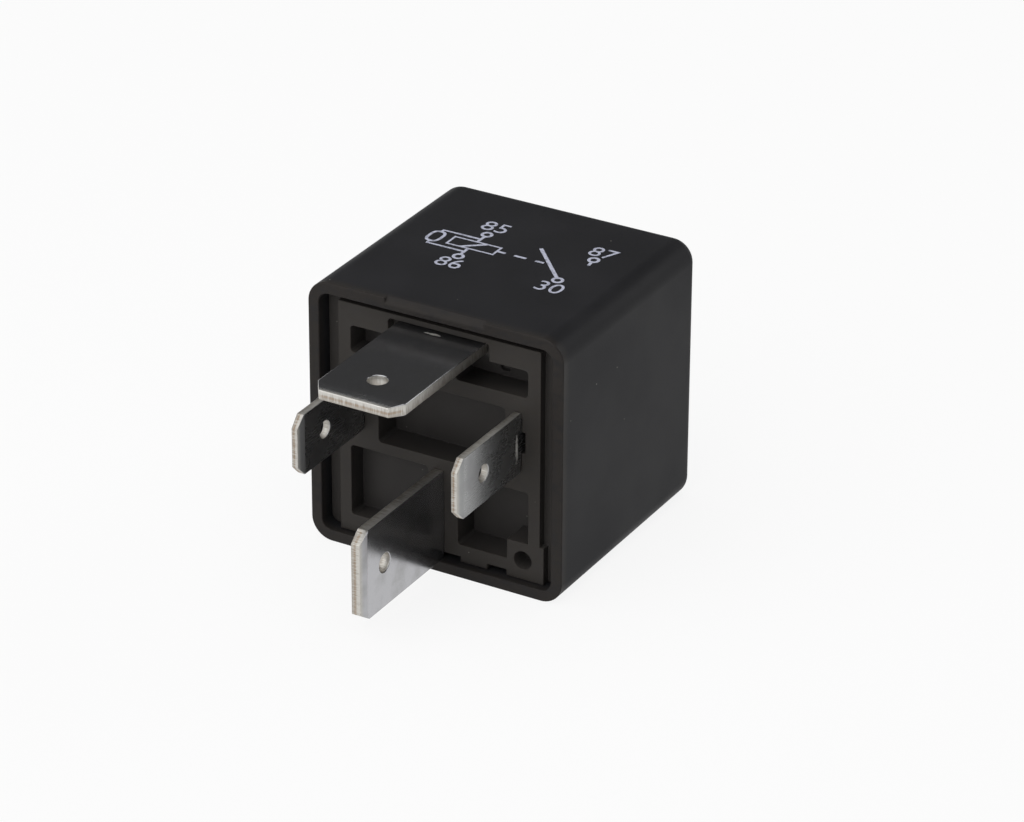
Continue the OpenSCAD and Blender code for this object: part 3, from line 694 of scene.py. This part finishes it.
@dataclass(frozen=True)
class Studio:
    """Pale floor and low wall, dim ceiling, soft lamps and the camera."""

    azimuth: float = 29.794
    elevation: float = 27.351
    roll: float = 0.297
    distance: float = 442.5
    aim: tuple[float, float, float] = (2.878, 3.768, 13.748)
    lens: float = 160.95
    nearest: float = 10
    floor_radius: float = 2000
    floor_sides: int = 96
    wall_height: float = 425
    paint: Colour = (0.84, 0.84, 0.84)
    glow: float = 0.88
    sky: float = 0.025
    centre: tuple[float, float, float] = (0, 0, 14)
    lamps: tuple[Lamp, ...] = (
        Lamp("key", (-0.15, -0.25, 1), 700, 1200, 7.0),
        Lamp("fill", (-0.2, -1, 0.1), 900, 1300, 6.8),
        Lamp("rim", (0.50, 0.80, 0.42), 560, 260, 0.45),
    )

    def build(self) -> None:
        """Sets up the floor, the ceiling, the lamps and the camera."""
        self._camera()
        self._floor()
        self._sky()
        for lamp in self.lamps:
            lamp.hang(Vector(self.centre))
        bpy.context.scene.view_settings.view_transform = "Standard"

    def _camera(self) -> None:
        """Places the camera on its orbit round the aim."""
        turn, lift = math.radians(self.azimuth), math.radians(self.elevation)
        ahead = Vector((-math.sin(turn) * math.cos(lift), math.cos(turn) * math.cos(lift), -math.sin(lift)))
        right = Vector((math.cos(turn), math.sin(turn), 0))
        up = right.cross(ahead)
        axes = Matrix((right, up, -ahead)).transposed()
        spin = Matrix.Rotation(math.radians(self.roll), 3, "Z")
        data = bpy.data.cameras.new("camera")
        data.lens = self.lens
        data.clip_start = self.nearest * MM
        camera = bpy.data.objects.new("camera", data)
        camera.matrix_world = Matrix.LocRotScale(
            (Vector(self.aim) - ahead * self.distance) * MM, axes @ spin, None
        )
        show(camera)
        bpy.context.scene.camera = camera

    def _floor(self) -> None:
        """Lays the pale floor with its low wall, which the camera and reflections see as white."""
        bm = bmesh.new()
        bmesh.ops.create_circle(
            bm, cap_ends=True, segments=self.floor_sides, radius=self.floor_radius * MM
        )
        rim = bmesh.ops.extrude_edge_only(bm, edges=bm.edges[:])["geom"]
        raised = [part for part in rim if isinstance(part, bmesh.types.BMVert)]
        bmesh.ops.translate(bm, verts=raised, vec=(0, 0, self.wall_height * MM))
        mesh = bpy.data.meshes.new("floor")
        bm.to_mesh(mesh)
        bm.free()
        floor = bpy.data.objects.new("floor", mesh)
        show(floor)
        mesh.materials.append(self._floor_material())

    def _floor_material(self) -> bpy.types.Material:
        """Builds the floor's material, pale paint that glows white where it is seen.

        Returns:
            The material.
        """
        shader = Shader.named("studio_floor")
        path = shader.node("ShaderNodeLightPath", {}, {})
        camera, glossy, through = (
            Signal(shader, path.outputs[name])
            for name in ("Is Camera Ray", "Is Glossy Ray", "Is Transmission Ray")
        )
        seen = (camera + glossy + through) * self.glow
        paint = shader.signal("ShaderNodeBsdfDiffuse", {}, {"Color": self.paint})
        glow = shader.signal("ShaderNodeEmission", {}, {"Color": WHITE, "Strength": 1})
        return shader.close(shader.signal("ShaderNodeMixShader", {}, {0: seen, 1: paint, 2: glow}))

    def _sky(self) -> None:
        """Makes the ceiling a dim, even fill."""
        world = bpy.data.worlds.new("ceiling")
        shader = Shader(world)
        light = {"Color": WHITE, "Strength": self.sky}
        bpy.context.scene.world = shader.close(shader.signal("ShaderNodeBackground", {}, light), "World")


# ---- Pieces ----


def rounded_square(angle: float, squareness: float) -> tuple[float, float]:
    """Gives a point of a round-cornered square whose sides lie 1 from its middle.

    Args:
        angle: Direction of the point, in radians.
        squareness: 2 for a circle, and more for tighter corners.

    Returns:
        The point.
    """
    across, up = math.cos(angle), math.sin(angle)
    reach = (abs(across) ** squareness + abs(up) ** squareness) ** (-1 / squareness)
    return across * reach, up * reach


def inside(point: Vector, box: tuple[Vector, Vector]) -> bool:
    """Tells whether a point lies in a box."""
    return all(low <= part <= high for low, part, high in zip(box[0], point, box[1]))


class Piece:
    """A mesh under work, which becomes one named piece of the relay.

    Edges flatter than FLAT are dissolved, those over SHARP are rounded, and the shading breaks at
    CREASE.
    """

    ROUND = 48
    WIRE_SIDES = 8
    LINE_ROUND = 2
    FLAT = math.radians(0.4)
    SHARP = math.radians(35)
    CREASE = math.radians(50)

    def __init__(self, name: str) -> None:
        """Starts an empty mesh.

        Args:
            name: Name of the piece.
        """
        self.name = name
        self.bm = bmesh.new()

    @classmethod
    def copy_of(cls, name: str, node: str) -> "Piece":
        """Starts from a merged copy of a CAD node.

        Args:
            name: Name of the piece.
            node: CAD node that is copied.

        Returns:
            The piece, with its flat faces whole.
        """
        piece = cls(name)
        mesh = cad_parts[node].data.copy()
        for attribute in [a for a in mesh.attributes if a.name == "custom_normal"]:
            mesh.attributes.remove(attribute)
        piece.bm.from_mesh(mesh)
        bpy.data.meshes.remove(mesh)
        bmesh.ops.remove_doubles(piece.bm, verts=piece.bm.verts, dist=WELD)
        bmesh.ops.dissolve_limit(
            piece.bm, angle_limit=cls.FLAT, verts=piece.bm.verts, edges=piece.bm.edges
        )
        return piece

    def turn(self, profile: Sequence[tuple[float, float]], centre: Vector, axis: Axis) -> "Piece":
        """Spins an outline all round a level axis.

        Args:
            profile: Places along the axis, from the centre, and radii; it closes on itself.
            centre: Point on the axis.
            axis: X or Y.

        Returns:
            The piece.
        """
        along = Vector([float(each == axis) for each in Axis])
        out = Vector((0, 0, 1))
        ring = [self.bm.verts.new((centre + along * at + out * radius) * MM) for at, radius in profile]
        edges = [self.bm.edges.new(pair) for pair in zip(ring, ring[1:] + ring[:1])]
        bmesh.ops.spin(
            self.bm, geom=ring + edges, cent=centre * MM, axis=along, angle=math.tau,
            steps=self.ROUND, use_merge=True, use_normal_flip=False, use_duplicate=False,
        )
        bmesh.ops.remove_doubles(self.bm, verts=self.bm.verts, dist=WELD)
        bmesh.ops.recalc_face_normals(self.bm, faces=self.bm.faces)
        return self

    def helix(self, centre: Vector, radius: float, wire: float, turns: int, pitch: float) -> "Piece":
        """Lays one round wire as a helix along Y.

        Args:
            centre: Middle of the first turn.
            radius: Radius of the wire's middle line.
            wire: Diameter of the wire.
            turns: Number of turns.
            pitch: Distance between turns.

        Returns:
            The piece.
        """
        start = Matrix.Translation((centre + Vector((radius, 0, 0))) * MM)
        section = bmesh.ops.create_circle(
            self.bm, segments=self.WIRE_SIDES, radius=wire / 2 * MM, matrix=start
        )
        edges = list({edge for vert in section["verts"] for edge in vert.link_edges})
        bmesh.ops.spin(
            self.bm, geom=section["verts"] + edges, cent=centre * MM, axis=(0, 1, 0),
            dvec=(0, pitch / self.ROUND * MM, 0), angle=math.tau * turns, steps=turns * self.ROUND,
            use_merge=False, use_normal_flip=False, use_duplicate=False,
        )
        ends = [edge for edge in self.bm.edges if edge.is_boundary]
        bmesh.ops.holes_fill(self.bm, edges=ends, sides=self.WIRE_SIDES)
        bmesh.ops.recalc_face_normals(self.bm, faces=self.bm.faces)
        return self

    def add_object(self, made: bpy.types.Object, change: Matrix) -> "Piece":
        """Adds a curve or text object's mesh, and removes the object.

        Args:
            made: Curve or text object at the origin.
            change: Change of its mesh before it is added.

        Returns:
            The piece.
        """
        show(made)
        mesh = bpy.data.meshes.new_from_object(made.evaluated_get(bpy.context.evaluated_depsgraph_get()))
        mesh.transform(change)
        self.bm.from_mesh(mesh)
        bpy.data.meshes.remove(mesh)
        bpy.data.objects.remove(made)
        return self

    def stroke(
        self, points: Sequence[Sequence[float]], width: float, closed: bool = False,
        change: Matrix = Matrix.Identity(4),
    ) -> "Piece":
        """Draws a round line through points.

        Args:
            points: Points in millimetres.
            width: Width of the line.
            closed: Whether it joins its own start.
            change: Change of the finished line.

        Returns:
            The piece.
        """
        curve = bpy.data.curves.new("line", "CURVE")
        curve.dimensions = "3D"
        curve.bevel_depth = width / 2 * MM
        curve.bevel_resolution = self.LINE_ROUND
        curve.use_fill_caps = True
        spline = curve.splines.new("POLY")
        spline.points.add(len(points) - 1)
        for point, place in zip(spline.points, points):
            point.co = (*(part * MM for part in place), 1)
        spline.use_cyclic_u = closed
        return self.add_object(bpy.data.objects.new("line", curve), change)

    def soften(
        self, radius: float, segments: int = 2, spared: tuple[Vector, Vector] | None = None
    ) -> "Piece":
        """Rounds the sharp edges.

        Args:
            radius: Width of the rounding.
            segments: Faces across it.
            spared: Corners of a box in metres, or None; an edge with an end in it isn't rounded.

        Returns:
            The piece.
        """
        edges = [e for e in self.bm.edges if e.is_manifold and e.calc_face_angle(0) > self.SHARP]
        if spared:
            edges = [edge for edge in edges if not any(inside(vert.co, spared) for vert in edge.verts)]
        bmesh.ops.bevel(
            self.bm, geom=edges, offset=radius * MM, offset_type="OFFSET", segments=segments,
            profile=0.5, affect="EDGES", clamp_overlap=False, material=-1, loop_slide=True,
        )
        return self

    def done(
        self, finish: Finish, body: Body | None, slot: str, replaces: Iterable[str] = ()
    ) -> bpy.types.Object:
        """Makes the mesh an object, dresses it and sets it on its body.

        Args:
            finish: Finish of the piece.
            body: Body that carries it, or None where it is blended between two.
            slot: Material slot of the record; not used.
            replaces: CAD nodes that it stands for.

        Returns:
            The object.
        """
        for face in self.bm.faces:
            face.smooth = True
        for edge in self.bm.edges:
            edge.smooth = not edge.is_manifold or edge.calc_face_angle(0) < self.CREASE
        mesh = bpy.data.meshes.new(self.name)
        self.bm.to_mesh(mesh)
        self.bm.free()
        made = bpy.data.objects.new(self.name, mesh)
        show(made)
        mesh.materials.append(finish.material())
        weights = made.modifiers.new("even_shading", "WEIGHTED_NORMAL")
        weights.keep_sharp = True
        if body:
            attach(made, body.value)
        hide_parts(*replaces)
        rides = body.value if body else "both bodies"
        log.info("%s rides on %s with %d faces", self.name, rides, len(mesh.polygons))
        return made


def dress(
    name: str, node: str, edge: float, finish: Finish, body: Body | None, slot: str
) -> bpy.types.Object:
    """Rounds the edges of a copy of a CAD node and lets it stand for the node.

    Args:
        name: Name of the piece.
        node: CAD node that is copied.
        edge: Width of the rounding.
        finish: Finish of the piece.
        body: Body that carries it, or None where it is blended between two.
        slot: Material slot of the record, handed on to Piece.done.

    Returns:
        The object.
    """
    return Piece.copy_of(name, node).soften(edge).done(finish, body, slot, [node])


# ---- Sub-assemblies ----


@dataclass
class Case:
    """The cover, with its edges a little round."""

    edge: float = 0.14
    face_drop: float = 0.012

    def build(self) -> None:
        """Rounds the cover's edges and leaves room for the ink on its printed face."""
        shell = Piece.copy_of("case_shell", "cover").soften(self.edge, 3)
        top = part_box("cover")[1].z - WELD
        face = [vert for vert in shell.bm.verts if vert.co.z > top]
        bmesh.ops.translate(shell.bm, verts=face, vec=(0, 0, -self.face_drop * MM))
        shell.done(CASE_BLACK, Body.HOUSING, "case_plastic", ["cover"])


@dataclass(frozen=True)
class Numeral:
    """A terminal's number, by its lower left corner from the middle of the case's mouth edge."""

    text: str
    x: float
    y: float
    width: float = 2.75
    height: float = 2.0


@dataclass(frozen=True)
class Ring:
    """The small circle of a terminal."""

    x: float
    y: float
    radius: float = 0.48


@dataclass
class PrintedDiagram:
    """Circuit diagram printed on the case: coil, resistor across it, and one make contact.

    Places are measured from the middle of the case's mouth edge.
    """

    thickness: float = 0.008
    steps: int = 24
    line: float = 0.32
    arm_line: float = 0.38
    coil: tuple[float, float, float, float] = (-6.55, -1.4, 13.4, 15.1)
    slash: tuple[float, float] = (-5.1, -2.9)
    resistor: tuple[float, float, float, float] = (-8.95, -7.6, 13.15, 15.35)
    resistor_corners: float = 3
    lead_x: float = -4.1
    bridge: tuple[float, float] = (12.6, 15.8)
    dashes: tuple[tuple[float, float], ...] = ((-1.4, -0.45), (0.5, 1.85), (2.85, 3.8))
    arm: tuple[tuple[float, float], ...] = ((1.95, 16.95), (6.5, 12.0))
    stub: tuple[tuple[float, float], ...] = ((7.62, 16.8), (7.75, 15.95))
    rings: tuple[Ring, ...] = (Ring(-4.12, 17.0), Ring(-4.05, 11.4), Ring(6.8, 11.6), Ring(7.6, 17.25))
    numerals: tuple[Numeral, ...] = (
        Numeral("85", -5.6, 17.9), Numeral("86", -5.45, 8.8),
        Numeral("30", 5.55, 8.9), Numeral("87", 6.3, 18.05),
    )

    def build(self) -> None:
        """Prints the lines and the terminals' numbers."""
        self._lines()
        self._numbers()

    def _draw(self, piece: Piece, points: Sequence[Sequence[float]], width: float, closed: bool) -> None:
        """Draws one flat line of ink.

        Args:
            piece: Piece that it joins.
            points: Its points on the face.
            width: Width of the line.
            closed: Whether it joins its own start.
        """
        flat = Matrix.Diagonal((1, 1, self.thickness / width, 1))
        place = Matrix.Translation(Vector((0, MOUTH_Y, FACE_Z - self.thickness / 2)) * MM)
        piece.stroke([(x, y, 0) for x, y in points], width, closed, place @ flat)

    @staticmethod
    def _box(left: float, right: float, low: float, high: float) -> list[tuple[float, float]]:
        """Gives the corners of a box."""
        return [(left, low), (right, low), (right, high), (left, high)]

    def _loop(
        self, left: float, right: float, low: float, high: float, squareness: float
    ) -> list[tuple[float, float]]:
        """Gives points round a box with round corners.

        Args:
            left: Left side of the box.
            right: Its right side.
            low: Its lower side.
            high: Its upper side.
            squareness: 2 for an oval, and more for tighter corners.

        Returns:
            The points.
        """
        turns = [math.tau * step / self.steps for step in range(self.steps)]
        points = [rounded_square(turn, squareness) for turn in turns]
        return [
            ((left + right + across * (right - left)) / 2, (low + high + up * (high - low)) / 2)
            for across, up in points
        ]

    def _lines(self) -> None:
        """Prints coil, resistor, link, switch arm and terminal rings."""
        piece = Piece("printed_diagram")
        low, high = self.coil[2:]
        across, down = (self.resistor[0] + self.resistor[1]) / 2, self.resistor[2:]
        closed = [self._box(*self.coil), self._loop(*self.resistor, self.resistor_corners)]
        opened = [[(self.slash[0], low), (self.slash[1], high)]]
        for level, edge, end in zip(self.bridge, down, (low, high)):
            opened.append([(across, edge), (across, level), (self.lead_x, level)])
        link_y = (low + high) / 2
        opened += [[(start, link_y), (end, link_y)] for start, end in self.dashes]
        opened += [
            [(self.lead_x, high), (self.lead_x, self.rings[0].y - self.rings[0].radius)],
            [(self.lead_x, low), (self.lead_x, self.rings[1].y + self.rings[1].radius)],
            self.stub,
        ]
        for points in closed:
            self._draw(piece, points, self.line, True)
        for points in opened:
            self._draw(piece, points, self.line, False)
        self._draw(piece, self.arm, self.arm_line, False)
        for ring in self.rings:
            sides = (ring.x - ring.radius, ring.x + ring.radius, ring.y - ring.radius, ring.y + ring.radius)
            self._draw(piece, self._loop(*sides, 2), self.line, True)
        piece.done(INK, Body.HOUSING, "case_plastic")

    def _numbers(self) -> None:
        """Prints the terminals' numbers."""
        piece = Piece("printed_numbers")
        for numeral in self.numerals:
            curve = bpy.data.curves.new("number", "FONT")
            curve.body = numeral.text
            # Any depth does, as each number is scaled to its size.
            curve.extrude = 0.5
            made = bpy.data.objects.new("number", curve)
            show(made)
            bpy.context.view_layer.update()
            low, high = Vector(made.bound_box[0]), Vector(made.bound_box[6])
            bpy.context.scene.collection.objects.unlink(made)
            size = Vector((numeral.width, numeral.height, self.thickness))
            scale = Matrix.Diagonal((*(want / has for want, has in zip(size, high - low)), 1))
            corner = Vector((numeral.x, numeral.y + MOUTH_Y, FACE_Z - self.thickness))
            place = Matrix.Translation(corner * MM) @ Matrix.Diagonal((MM, MM, MM, 1))
            piece.add_object(made, place @ scale @ Matrix.Translation(-low))
        piece.done(INK, Body.HOUSING, "case_plastic")


@dataclass
class Base:
    """The moulded base.

    The wall between blade 30's slot and the notch below it is too thin to round.
    """

    edge: float = 0.08
    thin_level: float = 0.69
    thin_reach: tuple[float, float, float] = (0.15, 0, 0.08)

    def build(self) -> None:
        """Rounds the base's edges a little and dresses it."""
        low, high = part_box("terminal_30")
        level = low.z + self.thin_level * MM
        reach = Vector(self.thin_reach) * MM
        thin = (Vector((low.x, low.y, level)) - reach, Vector((high.x, high.y, level)) + reach)
        moulding = Piece.copy_of("base_moulding", "base").soften(self.edge, spared=thin)
        moulding.done(BASE_BLACK, Body.HOUSING, "base_plastic", ["base"])


@dataclass
class Blades:
    """The four blades: one flat across in front, the others upright."""

    edge: float = 0.07
    upright: tuple[str, ...] = ("30", "85", "86")
    coil: tuple[str, ...] = ("85", "86")
    coil_face: Colour = (0.37, 0.375, 0.375)
    coil_cloudy: Colour = (0.32, 0.32, 0.325)
    coil_smooth: tuple[float, float] = (0.25, 0.28)
    # Blade 86's root carries a painted glint, drawn as a narrow bright scar.
    scrape_highlights: tuple[tuple[str, ScrapeHighlight], ...] = (
        ("86", ScrapeHighlight((0, MOUTH_Y - 0.1, 15.8), (100, 0.3, 2.1))),
    )
    flat: str = "87"
    flat_struck_rough: float = 0.03
    # Blade 87's root carries a press scrape painted bright as a highlight, so that the blade looks lit down
    # into its seat.
    flat_scrape_highlight: ScrapeHighlight = ScrapeHighlight((-0.5, MOUTH_Y + 0.6, 0), (1.15, 0.3, 100))

    def build(self) -> None:
        """Rounds the stamped edges and dresses the blades."""
        for number in self.upright:
            self._blade(number, self._upright_tin(number))
        self._blade(self.flat, self._flat_tin())

    def _upright_tin(self, number: str) -> SheetTin:
        """Gives the finish of an upright blade.

        Args:
            number: Number of the blade.

        Returns:
            The finish, duller on the coil's blades.
        """
        low, high = box_of(f"terminal_{number}")
        finish = SheetTin(f"tin_{number}", Axis.X, (low.x + high.x) / 2, high.x - low.x, low.y)
        if number in self.coil:
            finish = replace(
                finish, face=self.coil_face, cloudy=self.coil_cloudy, smooth=self.coil_smooth
            )
        return replace(finish, scrape_highlight=dict(self.scrape_highlights).get(number))

    def _flat_tin(self) -> SheetTin:
        """Gives the finish of the flat blade, which is as thick as the upright power blade.

        Returns:
            The finish.
        """
        low, high = box_of(f"terminal_{self.flat}")
        strip = thickness_of("terminal_30")
        return SheetTin(
            f"tin_{self.flat}", Axis.Z, high.z - strip / 2, strip, low.y,
            struck_rough=self.flat_struck_rough, scrape_highlight=self.flat_scrape_highlight,
        )

    def _blade(self, number: str, finish: SheetTin) -> None:
        """Rounds and dresses one blade."""
        dress(f"blade_{number}", f"terminal_{number}", self.edge, finish, Body.HOUSING, "tinned_brass")


@dataclass
class Magnet:
    """Yoke, core, bobbin and winding.

    The winding's turns lie a little pressed together, over a plain body that reaches sunk wires
    below their outside.
    """

    edge: float = 0.08
    wire: float = 0.3
    pressed: float = 0.98
    depth: float = 2.28
    sunk: float = 0.6

    def build(self) -> None:
        """Dresses the iron and the bobbin, and winds the coil."""
        dress("yoke_frame", "yoke", self.edge, IRON, Body.HOUSING, "plated_iron")
        dress("core_turned", "core", self.edge, IRON, Body.HOUSING, "plated_iron")
        dress("bobbin_moulding", "bobbin", self.edge, BOBBIN_CREAM, Body.HOUSING, "bobbin_plastic")
        self._winding()

    def _winding(self) -> None:
        """Winds the outer layer as one helix over a plain body of inner layers."""
        low, high = box_of("coil_winding")
        outer = (high.x - low.x) / 2
        tube = outer - self.depth
        pitch = self.wire * self.pressed
        length = high.y - low.y
        turns = int((length - self.wire) / pitch)
        spare = (length - self.wire - turns * pitch) / 2
        first = Vector((0, low.y + self.wire / 2 + spare, (low.z + high.z) / 2))
        middle = Vector((0, low.y, first.z))
        under = outer - self.wire * self.sunk
        piece = Piece("winding_turns")
        piece.turn([(0, tube), (0, under), (length, under), (length, tube)], middle, Axis.Y)
        piece.helix(first, outer - self.wire / 2, self.wire, turns, pitch)
        piece.done(Enamel("coil_enamel"), Body.HOUSING, "enamelled_copper", ["coil_winding"])


@dataclass
class CoilCircuit:
    """Wire ends of the coil and the resistor across it.

    The outline gives half the resistor: places as shares of its length, radii as shares of its own.
    """

    sides: tuple[tuple[str, int], ...] = (("85", -1), ("86", 1))
    wire: float = 0.3
    clear: float = 0.02
    wraps: int = 3
    steps: int = 24
    square: float = 5
    outline: tuple[tuple[float, float], ...] = (
        (0.5, 0.0), (0.5, 0.30), (0.492, 0.55), (0.475, 0.76), (0.45, 0.90), (0.41, 0.98),
        (0.37, 1.0), (0.33, 0.985), (0.29, 0.93), (0.25, 0.88), (0.20, 0.86),
    )
    lacquer: Colour = srgb(196, 176, 132)
    rings: tuple[Colour, ...] = (
        srgb(60, 90, 160), srgb(120, 122, 124), srgb(92, 54, 30), srgb(176, 140, 60),
    )

    def build(self) -> None:
        """Wraps the wire ends round their blades and dresses the resistor."""
        for number, side in self.sides:
            self._lead(number, side)
        self._resistor()
        for number, _ in self.sides:
            node = f"resistor_lead_{number}"
            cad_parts[node].material_slots[0].material = TIN.material()
            log.info("%s keeps its CAD shape", node)

    def _lead(self, number: str, side: int) -> None:
        """Leads one end of the coil's wire across and wraps it round its blade.

        Args:
            number: Number of the blade.
            side: 1 on the right and -1 on the left.
        """
        node = f"coil_lead_{number}"
        low, high = box_of(node)
        inner, outer = sorted((abs(low.x), abs(high.x)))
        half = (high.z - low.z - self.wire) / 2
        middle = Vector((0, low.y + self.wire / 2, (low.z + high.z) / 2))
        blade_half = thickness_of(f"terminal_{number}") / 2 + self.wire / 2 + self.clear
        blade_x = outer - self.wire / 2 - blade_half
        count = self.wraps * self.steps
        points = [(side * inner, middle.y, middle.z)]
        for step in range(count + 1):
            across, up = rounded_square(math.pi - math.tau * step / self.steps, self.square)
            rise = (high.y - low.y - self.wire) * step / count
            points.append((side * (blade_x + blade_half * across), middle.y + rise, middle.z + half * up))
        piece = Piece(f"{node}_wire").stroke(points, self.wire)
        piece.done(Enamel(f"{node}_enamel"), Body.HOUSING, "enamelled_copper", [node])

    def _resistor(self) -> None:
        """Turns the resistor's waisted body."""
        low, high = box_of("resistor")
        length, radius = high.x - low.x, (high.z - low.z) / 2
        profile = [(-at * length, share * radius) for at, share in self.outline]
        profile += [(at * length, share * radius) for at, share in reversed(self.outline)]
        piece = Piece("resistor_body").turn(profile, (low + high) / 2, Axis.X)
        lacquer = BandedLacquer("resistor_lacquer", self.lacquer, length, self.rings)
        piece.done(lacquer, Body.HOUSING, "resistor_lacquer", ["resistor"])


@dataclass
class Contacts:
    """Fixed contact, back stop, armature, spring and rivets."""

    edge: float = 0.06
    spring_edge: float = 0.04
    spring_root: tuple[float, float, float] = (0, 13.2, 2.6)
    spring_held: tuple[float, float, float] = (0, 15.8, 4.2)

    def build(self) -> None:
        """Dresses the pieces of both bodies and bends the spring between them."""
        still, moving = Body.HOUSING, Body.ARMATURE
        for node, finish, body, slot in (
            ("fixed_contact", SILVER, still, "contact_silver"),
            ("back_stop", STOP_STEEL, still, "stop_steel"),
            ("yoke_rivets", BRASS, still, "rivet_brass"),
            ("armature", IRON, moving, "plated_iron"),
            ("armature_rivets", BRASS, moving, "rivet_brass"),
            ("moving_contact", SILVER, moving, "contact_silver"),
        ):
            dress(f"{node}_formed", node, self.edge, finish, body, slot)
        self._spring()

    def _spring(self) -> None:
        """Bends the spring's leaf with the armature while its leg stays on the yoke."""
        leaf = dress(
            "contact_spring_leaf", "contact_spring", self.spring_edge, BRONZE, None, "spring_bronze"
        )
        ends = {"start": self.spring_root, "end": self.spring_held}
        places = {key: tuple(part * MM for part in value) for key, value in ends.items()}
        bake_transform(leaf, Body.HOUSING.value, Body.ARMATURE.value, **places)


def main() -> None:
    """Builds the relay and its surroundings in order."""
    logging.basicConfig(level=logging.INFO, format="%(name)s: %(message)s")
    Studio().build()
    for part in (Case(), PrintedDiagram(), Base(), Blades(), Magnet(), CoilCircuit(), Contacts()):
        part.build()


if __name__ == "__main__":
    main()
